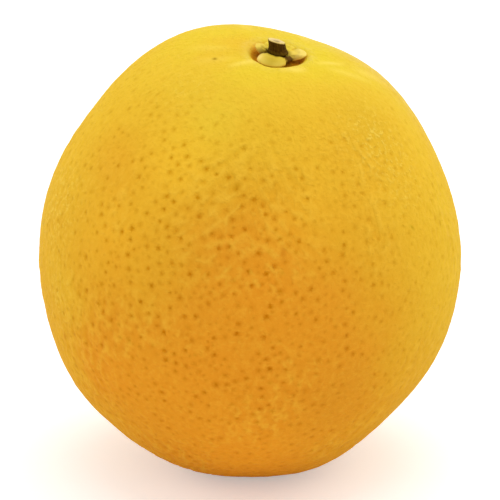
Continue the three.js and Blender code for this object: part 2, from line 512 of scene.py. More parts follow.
# The wax is polished on the rim of the seat, where the rind turns over, and in a few patches.
RIM_GLOSS = 0.6
RIM_GLOSS_AT = 1.1 * MM  # past the middle of the seat's wall
RIM_GLOSS_SPREAD = 0.9 * MM
GLOSS_PATCHES = (
    {"turn": 90, "rise": 65, "spread": 14, "gloss": 0.6},
    {"turn": 25, "rise": 60, "spread": 14, "gloss": 0.6},
    {"turn": 10, "rise": 45, "spread": 14, "gloss": 0.3},
)
gloss_patches = placed(GLOSS_PATCHES, "gloss")

# Patches where the crests of the pebbled skin are painted pale: painted glints of light on them.
GLINT_PATCHES = (
    {"turn": -40, "rise": 44, "spread": 10, "glint": 0.9},
    {"turn": -36, "rise": 30, "spread": 8, "glint": 0.5},
    {"turn": -160, "rise": 20, "spread": 13, "glint": 0.8},
    {"turn": -155, "rise": -5, "spread": 10, "glint": 0.6},
    {"turn": -125, "rise": 62, "spread": 8, "glint": 0.4},
    {"turn": 60, "rise": 20, "spread": 14, "glint": 0.7},
)
glint_patches = placed(GLINT_PATCHES, "glint")

# Low folds of the crown, with a painted highlight along their crests. A path is in degrees about the
# stalk from +X and mm from the stalk. Its spread is in mm too.
HIGHLIT_FOLDS = (
    {"path": ((-140, 12.5), (-135, 9.4), (-130, 8.0), (-119, 7.5)), "spread": 0.75, "highlight": 0.7},
    {"path": ((-90, 7.9), (-66, 7.5), (-42, 7.4)), "spread": 0.65, "highlight": 0.7},
    {"path": ((-30, 7.2), (-9, 8.6), (-3, 10.0), (6, 12.8)), "spread": 0.7, "highlight": 0.6},
    {"path": ((-27, 9.0), (-17, 11.5), (-10, 14.5), (-5, 18.0)), "spread": 0.9, "highlight": 0.35},
    {"path": ((-3, 13.0), (4, 16.5), (8, 21.0)), "spread": 1.2, "highlight": 0.4},
    {"path": ((-150, 8.0), (-155, 12.0), (-162, 17.0)), "spread": 1.0, "highlight": 0.25},
    {"path": ((-172, 8.0), (-176, 12.0), (176, 17.0)), "spread": 1.1, "highlight": 0.25},
    {"path": ((60, 8.5), (64, 12.0), (74, 17.0)), "spread": 1.0, "highlight": 0.4},
    {"path": ((125, 9.0), (118, 13.0), (116, 18.0)), "spread": 1.1, "highlight": 0.3},
)
HIGHLIT_FOLD_HEIGHT = 0.12 * MM


def on_crown(turn, reach):
    """A place near the stalk, laid flat."""
    return Vector((reach * math.cos(turn), reach * math.sin(turn)))


highlit_folds = [([on_crown(math.radians(turn), reach * MM) for turn, reach in fold["path"]],
               fold["spread"] * MM, fold["highlight"]) for fold in HIGHLIT_FOLDS]


def fold_highlight_at(flat_place):
    """How high a fold is at a place near the stalk, and how strong its painted highlight, from 0 to
    1.
    """
    fold_highlight = 0
    for path, spread, highlight in highlit_folds:
        for step, (start, end) in enumerate(zip(path, path[1:])):
            _, share = geometry.intersect_point_line(flat_place, start, end)
            share = min(max(share, 0), 1)
            taper = highlight * math.sin(math.pi * (step + share) / (len(path) - 1))
            fold_highlight = max(fold_highlight, taper * bell((flat_place - start.lerp(end, share)).length, spread))
    return fold_highlight


def stalk_frame(place, middle):
    """A place as turn about the stalk, distance from its axis and height above a middle point."""
    level = stalk_turn.inverted() @ (place - middle)
    return math.atan2(level.y, level.x), math.hypot(level.x, level.y), level.z


PEBBLE_CREST = 0.4  # how much of the crests' polish is the pebbles', and the rest the creases'
seat_gaps = []
skins = []
painted_lights = []
ripenesses = []
crests = []
crease_ways = []
reliefs = []
for vert in rind.verts:
    _, index, gap = pore_finder.find(vert.co)
    _, size, strength = pores[index]
    from_stalk = stalk_distance(vert.co)
    away = (vert.co - seat_centre).normalized()
    towards = (vert.co - fruit_middle).normalized()
    turn, reach, _ = stalk_frame(vert.co, seat_centre)
    seat_gap = (reach if from_stalk < NEAR_STALK else from_stalk) - seat_radius_at(turn)
    full = smooth_step(from_stalk, PORES_START, PORES_FULL)
    glint = patches_at(glint_patches, towards)
    fold_highlight = fold_highlight_at(on_crown(turn, reach)) if from_stalk < CROWN_ZONE else 0
    across, along, creased = crease_frame(vert.co, from_stalk)
    creased *= full
    relief = UNDULATION_DEPTH * noise.noise(vert.co / UNDULATION_WAVE)
    pebble = noise.noise(vert.co / PEBBLE_WAVE)
    crease = creased * crease_height(across, along)
    pebbled = CROWN_PEBBLED + (1 - CROWN_PEBBLED) * full + GLINT_PEBBLED * glint
    relief += PEBBLE_DEPTH * pebble * pebbled + CREASE_DEPTH * crease
    crests.append(PEBBLE_CREST * pebble * full + (1 - PEBBLE_CREST) * crease)
    crease_ways.extend((across, along, creased))
    relief -= PORE_DEPTH * strength * bell(gap, size)
    wrinkles = bell(from_stalk - WRINKLES_AT, WRINKLES_SPREAD)
    relief += WRINKLE_DEPTH * wrinkles * noise.noise(away * WRINKLES_ROUND)
    lip = LIP_MEAN + (1 - LIP_MEAN) * math.cos(turn - LIP_HIGHEST)
    relief += LIP_HEIGHT * lip * bell(seat_gap - LIP_AT, LIP_SPREAD) + HIGHLIT_FOLD_HEIGHT * fold_highlight
    relief -= SCAR_DEPTH * bell(towards.angle(-stalk_axis) * fruit_middle.z, SCAR_SPREAD)
    reliefs.append(relief)
    seat_gaps.append(seat_gap / MM)
    gloss = RIM_GLOSS * bell(seat_gap - RIM_GLOSS_AT, RIM_GLOSS_SPREAD)
    gloss += patches_at(gloss_patches, towards)
    # The coat's gloss, the painted glints on the crests and the painted highlight along the folds.
    skins.extend((min(gloss, 1), min(glint, 1), fold_highlight))
    painted_lights.append(patches_at(painted_light_patches, towards))
    ripenesses.append(ripeness_at(towards, from_stalk))
for vert, relief in zip(rind.verts, reliefs):
    vert.co += vert.normal * relief
    vert.co.z = max(vert.co.z, 0)

rind_material, tree, output = new_material("orange_rind")
RIPEST = 70  # the colours go by ripeness, which grows with the distance from the stalk in mm
RIND_COLOURS = (
    (6, (0.865, 0.665, 0.039)),
    (14, (0.87, 0.580, 0.039)),
    (22, (0.865, 0.535, 0.033)),
    (30, (0.86, 0.510, 0.031)),
    (38, (0.845, 0.470, 0.028)),
    (46, (0.84, 0.430, 0.025)),
    (56, (0.855, 0.362, 0.022)),
    (70, (0.88, 0.344, 0.020)),
)
place_mm = add_node(tree, "ShaderNodeVectorMath", {
    0: add_node(tree, "ShaderNodeTexCoord").outputs["Object"],
    "Scale": 1 / MM,
}, operation="SCALE").outputs[0]


def math_node(tree, operation, first, second=0.0):
    return add_node(tree, "ShaderNodeMath", {0: first, 1: second}, operation=operation).outputs[0]


def noise_of(tree, place, wave, detail=2.0, roughness=0.5):
    """Noise from 0 to 1 whose features are about wave apart, in the place's own units."""
    return add_node(tree, "ShaderNodeTexNoise", {
        "Vector": place,
        "Scale": 1 / wave,
        "Detail": detail,
        "Roughness": roughness,
    }).outputs["Fac"]


def centred_noise(tree, place, wave, detail=2.0, roughness=0.5):
    """The same noise, from -0.5 to 0.5."""
    return math_node(tree, "SUBTRACT", noise_of(tree, place, wave, detail, roughness), 0.5)


def share_between(tree, value, low, high, at_low=0.0, at_high=1.0):
    """Turns a value that goes from low to high into one from at_low to at_high, and stops there."""
    return add_node(tree, "ShaderNodeMapRange", {
        "Value": value,
        "From Min": low,
        "From Max": high,
        "To Min": at_low,
        "To Max": at_high,
    }).outputs["Result"]


def stored(tree, name):
    """A number that the mesh holds for each point or corner."""
    return add_node(tree, "ShaderNodeAttribute", attribute_name=name).outputs["Fac"]


def stored_vector(tree, name):
    return add_node(tree, "ShaderNodeAttribute", attribute_name=name).outputs["Vector"]


def stored_parts(tree, name):
    """Three numbers that the mesh holds together, as outputs X, Y and Z."""
    return add_node(tree, "ShaderNodeSeparateXYZ", {0: stored_vector(tree, name)}).outputs


def mixed(tree, share, first, second, blend="MIX"):
    mix = add_node(tree, "ShaderNodeMix", data_type="RGBA", blend_type=blend)
    for index, value in ((0, share), (6, first), (7, second)):
        if isinstance(value, bpy.types.NodeSocket):
            tree.links.new(value, mix.inputs[index])
        else:
            mix.inputs[index].default_value = value
    return mix.outputs[2]


def ramp(tree, share, stops):
    """A colour ramp through (place, colour) stops."""
    new = add_node(tree, "ShaderNodeValToRGB", {"Fac": share})
    elements = new.color_ramp.elements
    while len(elements) < len(stops):
        elements.new(0.5)
    for element, (position, colour) in zip(elements, stops):
        element.position = position
        element.color = (*colour, 1)
    return new.outputs["Color"]


# Patches of yellow and orange run into each other: the ramp is read a little early or late.
DRIFT_WAVE = 9  # in mm, like every wave in the materials
DRIFT = 10
drift = math_node(tree, "MULTIPLY", centred_noise(tree, place_mm, DRIFT_WAVE, 3), DRIFT)
reading = math_node(tree, "ADD", stored(tree, "ripeness"), drift)
colour = ramp(tree, math_node(tree, "DIVIDE", reading, RIPEST),
              [(position / RIPEST, shade) for position, shade in RIND_COLOURS])
# Painted light and shade in patches: the colour is scaled up or down.
colour = add_node(tree, "ShaderNodeVectorMath", {
    0: colour,
    "Scale": math_node(tree, "ADD", stored(tree, "painted_light"), 1),
}, operation="SCALE").outputs[0]

# Fine mottling of the skin between the pores. On the relief, a painted highlight on the crests and
# painted shade in the hollows.
MOTTLE_WAVE = 2.4
MOTTLE_SHADE = (0.93, 0.82, 0.6, 1)
MOTTLE_SHARE = 0.4
mottle = noise_of(tree, place_mm, MOTTLE_WAVE, 3, 0.6)
mottle_share = math_node(tree, "MULTIPLY", mottle, MOTTLE_SHARE)
colour = mixed(tree, mottle_share, colour, MOTTLE_SHADE, "MULTIPLY")

STREAK_WIDTH = 1.5
STREAK_LENGTH = 3.0
STREAK_SHARE = 1.6
GRAIN_WAVE = 0.75
CREST_SHARE = 0.25  # of the mesh's own crests
PAINTED_CREST_HIGHLIGHT = (1.0, 0.62, 0.06, 1)
PAINTED_HOLLOW_SHADE = (0.93, 0.84, 0.6, 1)
CREST_PALENESS = (0, 0.5, 0, 0.35)  # from one height to another, from one share to another
HOLLOW_DULLNESS = (0, -0.4, 0, 0.45)
crease_way = stored_parts(tree, "crease_way")
streak_place = add_node(tree, "ShaderNodeCombineXYZ", {
    "X": math_node(tree, "DIVIDE", crease_way["X"], STREAK_WIDTH),
    "Y": math_node(tree, "DIVIDE", crease_way["Y"], STREAK_LENGTH),
}).outputs[0]
streak = centred_noise(tree, streak_place, 1, 1.5)
streak = math_node(tree, "MULTIPLY", streak, crease_way["Z"])
grain = centred_noise(tree, place_mm, GRAIN_WAVE, 3, 0.6)
crest = math_node(tree, "MULTIPLY", stored(tree, "crest"), CREST_SHARE)
crest = math_node(tree, "ADD", crest, math_node(
    tree, "ADD", math_node(tree, "MULTIPLY", streak, STREAK_SHARE), grain))
# The painted highlight on the crests and the painted shade in the hollows.
pale = share_between(tree, crest, *CREST_PALENESS)
dull = share_between(tree, crest, *HOLLOW_DULLNESS)
colour = mixed(tree, pale, colour, PAINTED_CREST_HIGHLIGHT)
colour = mixed(tree, dull, colour, PAINTED_HOLLOW_SHADE, "MULTIPLY")

# The pores: soft darker spots with slightly ragged outlines, each over an oil gland, partly the
# gland's own darker tint and partly painted shade in its dimple.
PORE_TINT_AND_SHADE = (0.74, 0.56, 0.05, 1)
PORE_RAGGED_SCALE = 2.6
PORE_RAGGEDNESS = 1.5
PORE_EDGE = 1.5  # the higher this is, the flatter a pore's middle and the sharper its edge
pore_ragged = add_node(tree, "ShaderNodeTexNoise", {
    "Vector": place_mm,
    "Scale": PORE_RAGGED_SCALE,
    "Detail": 2.0,
}).outputs["Color"]
pore_ragged = add_node(tree, "ShaderNodeVectorMath", {
    0: pore_ragged,
    1: (0.5, 0.5, 0.5),
}, operation="SUBTRACT").outputs[0]
pore_ragged = add_node(tree, "ShaderNodeVectorMath", {
    0: pore_ragged,
    "Scale": PORE_RAGGEDNESS,
}, operation="SCALE").outputs[0]
pore_place = add_node(tree, "ShaderNodeVectorMath", {
    0: stored_vector(tree, "pore_way"),
    1: pore_ragged,
}, operation="ADD").outputs[0]
pore_gap = add_node(tree, "ShaderNodeVectorMath", {0: pore_place}, operation="LENGTH")
pore_round = math_node(tree, "EXPONENT", math_node(tree, "MULTIPLY", math_node(
    tree, "POWER", pore_gap.outputs["Value"], PORE_EDGE), -1))
pore = math_node(tree, "MULTIPLY", pore_round, stored(tree, "pore_strength"))
colour = mixed(tree, pore, colour, PORE_TINT_AND_SHADE, "MULTIPLY")

# Painted glints on the crests, and painted highlights along the folds round the stalk.
GLINT_WAVE = 0.8
GLINT_EDGE = (0.52, 0.68)  # of that noise, from no painted glint to a full one
PAINTED_GLINT = (1.0, 0.74, 0.11, 1)
GLINT_SHARE = 0.55
PAINTED_FOLD_HIGHLIGHT = (1.0, 0.76, 0.13, 1)
skin = stored_parts(tree, "skin")
glint_crest = share_between(tree, noise_of(tree, place_mm, GLINT_WAVE, 2, 0.55), *GLINT_EDGE)
glint_crest = math_node(tree, "MULTIPLY", glint_crest, skin["Y"])
colour = mixed(tree, math_node(tree, "MULTIPLY", glint_crest, GLINT_SHARE), colour, PAINTED_GLINT)
colour = mixed(tree, skin["Z"], colour, PAINTED_FOLD_HIGHLIGHT)

# Small marks: old pricks and scratches, healed over brown. Turn is about +Z from +X, rise is above
# the level of the fruit's middle and slant is from level, in degrees. Size is in mm.
MARKS = (
    {"turn": -125, "rise": 74.5, "slant": 10, "size": (0.42, 0.42), "shade": (0.40, 0.20, 0.001)},
    {"turn": -94, "rise": 36, "slant": 60, "size": (0.85, 0.6), "shade": (0.68, 0.31, 0.007)},
    {"turn": -39, "rise": 19, "slant": -50, "size": (0.7, 0.28), "shade": (0.61, 0.33, 0.005)},
    {"turn": -152, "rise": -15, "slant": 80, "size": (0.9, 0.5), "shade": (0.72, 0.30, 0.015)},
    {"turn": -81, "rise": 19, "slant": 85, "size": (1.0, 0.5), "shade": (0.72, 0.26, 0.012)},
    {"turn": 70, "rise": 30, "slant": 30, "size": (1.6, 0.3), "shade": (0.45, 0.27, 0.05)},
)
MARK_THICKNESS = 4  # how far a mark reaches in and out, which is more than the skin's relief
MARK_SHARE = 0.85

for mark in MARKS:
    outwards = direction(mark["turn"], mark["rise"])
    middle = rounded_hit(outwards) / MM
    level = UP.cross(outwards).normalized()
    along = Quaternion(outwards, math.radians(mark["slant"])) @ level
    length, width = mark["size"]
    offset = add_node(tree, "ShaderNodeVectorMath", {
        0: place_mm,
        1: middle,
    }, operation="SUBTRACT").outputs[0]
    gap = 0.0
    for axis in (along / length, outwards.cross(along) / width, outwards / MARK_THICKNESS):
        part = add_node(tree, "ShaderNodeVectorMath", {0: offset, 1: axis}, operation="DOT_PRODUCT")
        part = part.outputs["Value"]
        gap = math_node(tree, "ADD", math_node(tree, "MULTIPLY", part, part), gap)
    share = math_node(tree, "EXPONENT", math_node(tree, "MULTIPLY", gap, -1))
    share = math_node(tree, "MULTIPLY", share, MARK_SHARE)
    colour = mixed(tree, share, colour, (*mark["shade"], 1))

# The scar of the flower, a small dry brown round on the underside.
SCAR_WAVE = 0.7
SCAR_RAGGEDNESS = 0.8
SCAR_EDGE = (2.4, 1.7)  # where it begins and where it is full, in mm from its middle
SCAR_REACH = 2
scar_middle = rounded_hit(-stalk_axis) / MM
scar_gap = add_node(tree, "ShaderNodeVectorMath", {
    0: place_mm,
    1: scar_middle,
}, operation="DISTANCE").outputs["Value"]
scar_gap = math_node(tree, "ADD", scar_gap, math_node(
    tree, "MULTIPLY", noise_of(tree, place_mm, SCAR_WAVE), SCAR_RAGGEDNESS))
scar = share_between(tree, scar_gap, *SCAR_EDGE)
scar_colour = ramp(tree, math_node(tree, "DIVIDE", scar_gap, SCAR_REACH), (
    (0.3, (0.16, 0.075, 0.02)),
    (0.6, (0.34, 0.20, 0.06)),
    (0.9, (0.58, 0.40, 0.12)),
))
colour = mixed(tree, scar, colour, scar_colour)

# The seat of the calyx is browned, dry rind: dark brown on its floor and burnt orange on its wall.
SEAT_WAVE = 1.2
SEAT_RAGGEDNESS = 0.9
SEAT_EDGE = (-0.1, 0.35)  # where the browning begins to fade and where it is gone
seat_gap = math_node(tree, "ADD", stored(tree, "seat_gap"), math_node(
    tree, "MULTIPLY", centred_noise(tree, place_mm, SEAT_WAVE, 3), SEAT_RAGGEDNESS))
browning = ramp(tree, math_node(tree, "ADD", seat_gap, 1), (
    (0.1, (0.60, 0.25, 0.008)),
    (0.5, (0.68, 0.29, 0.010)),
    (0.8, (0.76, 0.36, 0.016)),
    (1.0, (0.83, 0.47, 0.026)),
))
colour = mixed(tree, share_between(tree, seat_gap, *SEAT_EDGE), browning, colour)

RIND_ROUGHNESS = 0.58
MOTTLE_ROUGHNESS = 0.16  # added to it
PORE_ROUGHNESS = 0.15
PORE_BUMP = 0.4
GLINT_BUMP = 0.35
RIND_BUMP = 0.4 * MM
CREST_GLOSS = (-0.2, 0.3, 0.3, 1)  # the crests are the most polished
rind_roughness = math_node(tree, "MULTIPLY", mottle, MOTTLE_ROUGHNESS)
rind_roughness = math_node(tree, "ADD", rind_roughness, math_node(
    tree, "ADD", math_node(tree, "MULTIPLY", pore, PORE_ROUGHNESS), RIND_ROUGHNESS))
gloss = math_node(tree, "MULTIPLY", skin["X"], share_between(tree, crest, *CREST_GLOSS))
rind_height = math_node(tree, "SUBTRACT", crest, math_node(tree, "MULTIPLY", pore, PORE_BUMP))
rind_height = math_node(tree, "ADD", rind_height, math_node(
    tree, "MULTIPLY", glint_crest, GLINT_BUMP))
rind_bump = add_node(tree, "ShaderNodeBump", {
    "Height": rind_height,
    "Distance": RIND_BUMP,
})
rind_shader = add_node(tree, "ShaderNodeBsdfPrincipled", {
    "Base Color": colour,
    "Roughness": rind_roughness,
    "Specular IOR Level": 0.02,
    "Coat Weight": gloss,
    "Coat Roughness": 0.28,
    "Normal": rind_bump.outputs["Normal"],
})
tree.links.new(rind_shader.outputs[0], output.inputs["Surface"])


def store(piece, name, values, domain="POINT"):
    """Keeps one number for each point or corner of a piece."""
    piece.data.attributes.new(name, "FLOAT", domain).data.foreach_set("value", values)


def store_vectors(piece, name, values, domain="POINT"):
    """Keeps three numbers for each point or corner of a piece, given in one flat list."""
    piece.data.attributes.new(name, "FLOAT_VECTOR", domain).data.foreach_set("vector", values)


orange = new_piece("orange_rind", rind, rind_material)
store(orange, "seat_gap", seat_gaps)
store_vectors(orange, "skin", skins)
store(orange, "painted_light", painted_lights)
store(orange, "ripeness", ripenesses)
store(orange, "crest", crests)
store_vectors(orange, "crease_way", crease_ways)
store_vectors(orange, "pore_way", pore_ways, "CORNER")
store(orange, "pore_strength", pore_strengths, "CORNER")
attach(orange, "root")
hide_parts("fruit")

# ----------------------------------------
# The calyx: five thick sepals grown together into a button, tough and half dried. They are gold to
# cream on top, and on the front-left side a painted shadow makes them brown where they meet round the
# stalk. The button grew on the fruit.

CALYX_CUTS = 3
CALYX_SMOOTHING = 4
COLLAR_RISE = 0.4 * MM  # the tissue swells up round the foot of the stalk
COLLAR_START = 1.95 * MM  # from the stalk's axis
COLLAR_FULL = 2.25 * MM
COLLAR_FADE = (4.4 * MM, 2.4 * MM)  # where it has died away, and where it begins to
CALYX_RIM_RISE = 0.07 * MM  # the sepals dried into a raised rim with a furrow inside it
CALYX_RIM = (4.3 * MM, 0.5 * MM)  # distance from the stalk and spread
CALYX_FURROW = (3.2 * MM, 0.6 * MM)
CALYX_VEIN_DEPTH = 0.05 * MM
VEINS_ROUND = 4.5  # the higher this is, the more veins there are round the stalk
VEIN_LENGTH = 3 * MM
CALYX_DENT_DEPTH = 0.06 * MM
CALYX_DENT_WAVE = 1.1 * MM

# Turns and spreads are in degrees about the stalk. A notch between two sepals is painted shade, dark
# brown, and the front sepal has a painted highlight on one corner and a dull dimple in its middle.
NOTCHES = ((-44, 18), (-160, 10))  # turn and spread
NOTCH_FULLNESS = 1.6  # above 1, its middle is evenly brown and its edges are sharper
NOTCH_REACH = 4.5 * MM
NOTCH_EDGE = 0.4 * MM
NOTCH_SHARE = 0.95
HIGHLIT_CORNER = (-140, 5.1 * MM)  # turn and distance from the stalk
HIGHLIT_CORNER_SPREAD = 0.8 * MM
HIGHLIT_CORNER_SHARE = 0.9
DIMPLE = (-106, 4.9 * MM)
DIMPLE_SPREAD = 1.3 * MM
# How the sepals dried: the sunny one was drawn in at both corners and out in its middle, and the
# next one on the near side. Each is a turn, a spread and a share of its reach, and none is at the
# back, where the turn jumps.
SEPAL_WARPS = ((-150, 12, -0.09), (-112, 14, 0.04), (-74, 13, -0.06), (-34, 15, -0.3))
WARP_START = 2.8 * MM
WARP_FULL = 4 * MM


def degrees_past(turn, middle):
    """How many degrees a turn in radians is past a middle in degrees, from -180 to 180."""
    return (math.degrees(turn) - middle + 180) % 360 - 180


def spot_at(turn, reach, spot, spread):
    """How strong a round spot is at a place on the calyx, from 0 to 1."""
    return bell((on_crown(turn, reach) - on_crown(math.radians(spot[0]), spot[1])).length, spread)


calyx = merged_copy("calyx")
bmesh.ops.subdivide_edges(calyx, edges=calyx.edges[:], cuts=CALYX_CUTS, use_grid_fill=True)
for _ in range(CALYX_SMOOTHING):
    bmesh.ops.smooth_vert(calyx, verts=calyx.verts, factor=0.5, use_axis_x=True, use_axis_y=True,
                          use_axis_z=True)
bmesh.ops.recalc_face_normals(calyx, faces=calyx.faces)
calyx.normal_update()

calyx_ways = []
calyx_marks = []
calyx_reliefs = []
for vert in calyx.verts:
    turn, reach, height = stalk_frame(vert.co, seat_centre)
    upward = max(vert.normal.dot(stalk_axis), 0)
    vein = noise.noise(VEINS_ROUND * Vector((math.cos(turn), math.sin(turn), 0))
                       + reach / VEIN_LENGTH * UP)
    dent = noise.noise(vert.co / CALYX_DENT_WAVE)
    rim = bell(reach - CALYX_RIM[0], CALYX_RIM[1]) - bell(reach - CALYX_FURROW[0], CALYX_FURROW[1])
    relief = CALYX_VEIN_DEPTH * vein + CALYX_DENT_DEPTH * dent + CALYX_RIM_RISE * rim * upward
    calyx_reliefs.append(relief)
    calyx_ways.extend((turn, reach / MM, height / MM))
    notch = max(bell(degrees_past(turn, middle), spread) for middle, spread in NOTCHES)
    notch = min(NOTCH_FULLNESS * notch, 1)
    notch *= smooth_step(reach, NOTCH_REACH + NOTCH_EDGE, NOTCH_REACH - NOTCH_EDGE)
    calyx_marks.extend((
        NOTCH_SHARE * notch,
        HIGHLIT_CORNER_SHARE * spot_at(turn, reach, HIGHLIT_CORNER, HIGHLIT_CORNER_SPREAD),
        spot_at(turn, reach, DIMPLE, DIMPLE_SPREAD),
    ))
for vert, relief in zip(calyx.verts, calyx_reliefs):
    from_stub = (vert.co - stub_foot).cross(stalk_axis).length
    turn, reach, _ = stalk_frame(vert.co, seat_centre)
    collar = smooth_step(from_stub, COLLAR_START, COLLAR_FULL)
    collar *= smooth_step(reach, *COLLAR_FADE) * max(vert.normal.dot(stalk_axis), 0)
    vert.co += vert.normal * relief + stalk_axis * (COLLAR_RISE * collar)
    warp = sum(share * bell(math.degrees(turn) - middle, spread)
               for middle, spread, share in SEPAL_WARPS)
    outwards = stalk_turn @ Vector((math.cos(turn), math.sin(turn), 0))
    vert.co += outwards * (reach * warp * smooth_step(reach, WARP_START, WARP_FULL))

# Dry plant fibre: fine lines along the piece, broken up by specks. The place is in mm, with the
# fibres along its Y.
FIBRE_LENGTHENING = (1.0, 0.22, 1.0)
FIBRE_WAVE = 0.22
SPECK_WAVE = 0.35
SPECK_SHARE = 0.4
fibre = bpy.data.node_groups.new("dry_fibre", "ShaderNodeTree")
fibre.interface.new_socket("Place", in_out="INPUT", socket_type="NodeSocketVector")
fibre.interface.new_socket("Mask", in_out="OUTPUT", socket_type="NodeSocketFloat")
fibre_in = fibre.nodes.new("NodeGroupInput")
fibre_out = fibre.nodes.new("NodeGroupOutput")
fibre_stretch = add_node(fibre, "ShaderNodeMapping", {
    "Vector": fibre_in.outputs["Place"],
    "Scale": FIBRE_LENGTHENING,
})
fibre_lines = noise_of(fibre, fibre_stretch.outputs["Vector"], FIBRE_WAVE, 3, 0.6)
fibre_specks = noise_of(fibre, fibre_in.outputs["Place"], SPECK_WAVE, 3, 0.6)
fibre_mask = math_node(fibre, "ADD", math_node(
    fibre, "MULTIPLY", fibre_lines, 1 - SPECK_SHARE), math_node(
    fibre, "MULTIPLY", fibre_specks, SPECK_SHARE))
fibre.links.new(fibre_mask, fibre_out.inputs["Mask"])


def fibre_mask_at(tree, place):
    group = add_node(tree, "ShaderNodeGroup", {}, node_tree=fibre)
    tree.links.new(place, group.inputs["Place"])
    return group.outputs["Mask"]


calyx_material, tree, output = new_material("calyx_tissue")
FIBRES_RADIUS = 3.5  # mm, to lay the calyx's turns out as distances
BLOTCH_WAVE = 1.4
BLOTCH_SHIFT = 1.2  # how many mm nearer or farther a blotch makes the colour read
SHADOWED_SIDE = math.radians(-125)  # about the stalk: only there is the painted shadow, brown round the stalk
SHADOW_FADE = (0.35, 0, 0, 1.3)  # from that side to the others, in mm nearer to the gold
CALYX_REACH = 6
way = stored_parts(tree, "way")
turn = way["X"]
reach = way["Y"]
calyx_place = add_node(tree, "ShaderNodeCombineXYZ", {
    "X": math_node(tree, "MULTIPLY", math_node(tree, "COSINE", turn), FIBRES_RADIUS),
    "Y": reach,
    "Z": math_node(tree, "MULTIPLY", math_node(tree, "SINE", turn), FIBRES_RADIUS),
}).outputs[0]
calyx_fibre = fibre_mask_at(tree, calyx_place)
blotch = centred_noise(tree, calyx_place, BLOTCH_WAVE)
reading = math_node(tree, "ADD", reach, math_node(tree, "MULTIPLY", blotch, BLOTCH_SHIFT))
past_shadowed = math_node(tree, "COSINE", math_node(tree, "SUBTRACT", turn, SHADOWED_SIDE))
reading = math_node(tree, "ADD", reading, share_between(tree, past_shadowed, *SHADOW_FADE))
colour = ramp(tree, math_node(tree, "DIVIDE", reading, CALYX_REACH), [
    (position / CALYX_REACH, shade) for position, shade in (
        (1.9, (0.10, 0.055, 0.002)),
        (2.4, (0.22, 0.13, 0.006)),
        (2.8, (0.70, 0.50, 0.040)),
        (3.5, (0.90, 0.67, 0.095)),
        (4.4, (0.93, 0.69, 0.110)),
        (5.1, (0.97, 0.74, 0.160)),
    )])
# The sepal on the sunny side is the greenest, and those at the back are as yellow as the rind.
GREEN_SHADE = (0.76, 0.74, 0.42, 1)
GREEN_FADE = (-0.5, -0.9, 0, 0.8)
BACK_SHADE = (0.86, 0.64, 0.045, 1)
BACK_FADE = (0.3, 0.7, 0, 0.8)
# Painted shade for the notches and a painted highlight for the pale corner.
PAINTED_NOTCH_SHADE = (0.085, 0.027, 0.001, 1)
PAINTED_CORNER_HIGHLIGHT = (1.0, 0.76, 0.22, 1)
DIMPLE_SHADE = (0.80, 0.76, 0.50, 1)
FIBRE_SHADE = (0.80, 0.78, 0.6, 1)
FIBRE_SHARE = 0.5
CALYX_BUMP = 0.12 * MM
backwards = math_node(tree, "SINE", turn)
green = share_between(tree, backwards, *GREEN_FADE)
colour = mixed(tree, green, colour, GREEN_SHADE, "MULTIPLY")
colour = mixed(tree, share_between(tree, backwards, *BACK_FADE), colour, BACK_SHADE)
calyx_mark = stored_parts(tree, "mark")
colour = mixed(tree, calyx_mark["X"], colour, PAINTED_NOTCH_SHADE)
colour = mixed(tree, calyx_mark["Y"], colour, PAINTED_CORNER_HIGHLIGHT)
colour = mixed(tree, calyx_mark["Z"], colour, DIMPLE_SHADE, "MULTIPLY")
fibre_share = math_node(tree, "MULTIPLY", calyx_fibre, FIBRE_SHARE)
colour = mixed(tree, fibre_share, colour, FIBRE_SHADE, "MULTIPLY")
calyx_bump = add_node(tree, "ShaderNodeBump", {
    "Height": calyx_fibre,
    "Distance": CALYX_BUMP,
})
calyx_shader = add_node(tree, "ShaderNodeBsdfPrincipled", {
    "Base Color": colour,
    "Roughness": 0.7,
    "Specular IOR Level": 0.05,
    "Normal": calyx_bump.outputs["Normal"],
})
tree.links.new(calyx_shader.outputs[0], output.inputs["Surface"])

button = new_piece("calyx_button", calyx, calyx_material)
store_vectors(button, "way", calyx_ways)
store_vectors(button, "mark", calyx_marks)
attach(button, "root")
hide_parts("calyx")

# ----------------------------------------
# The stalk: a woody twig, cut across a little above the calyx. Its bark is dark brown, and the cut
# shows a pale ring of wood round a darker pith.

STUB_STEPS = 72
STUB_RISE = (stub_top - stub_foot).dot(stalk_axis)
STUB_PROFILE = (  # radius and height in mm, from the middle of the foot to the middle of the cut
    (0, 0),
    (1.2, 0),
    (1.80, 0),
    (1.89, 0.1),
    (1.85, 0.25),
    (1.77, 0.42),
    (1.69, 0.6),
    (1.63, 0.8),
    (1.60, 1.0),
    (1.58, 1.2),
    (1.56, 1.4),
    (1.55, 1.6),
    (1.56, 1.8),
    (1.58, 1.95),
    (1.56, 2.08),
    (1.48, 2.17),
    (1.36, 2.2),
    (1.15, 2.16),
    (0.95, 2.12),
    (0.75, 2.08),
    (0.5, 2.05),
    (0.25, 2.04),
    (0, 2.04),
)
BARK_RIDGE_DEPTH = 0.09 * MM
BARK_SUNK = 0.35  # how far the bark lies inside the profile, for 1 at the ridges' depth
RIDGES_ROUND = 3.2  # the higher this is, the more ridges there are round the stalk
RIDGE_LENGTH = 2.5 * MM
BARK_REACH = (1.2 * MM, 1.5 * MM)  # the bark begins and is full at these distances from the axis
BARK_RISE = (0, 0.4 * MM)  # and at these heights
CUT_HEIGHT = (1.9 * MM, 2.1 * MM)
CUT_ROUGHNESS = 0.05 * MM
CUT_WAVE = 0.5 * MM
CUT_SLANT = Vector((0.14, 0.17, 0))  # the cut was not made square: it falls away to +X and +Y
SLANT_HEIGHT = (1 * MM, 2 * MM)  # the twig takes up the slant between these heights


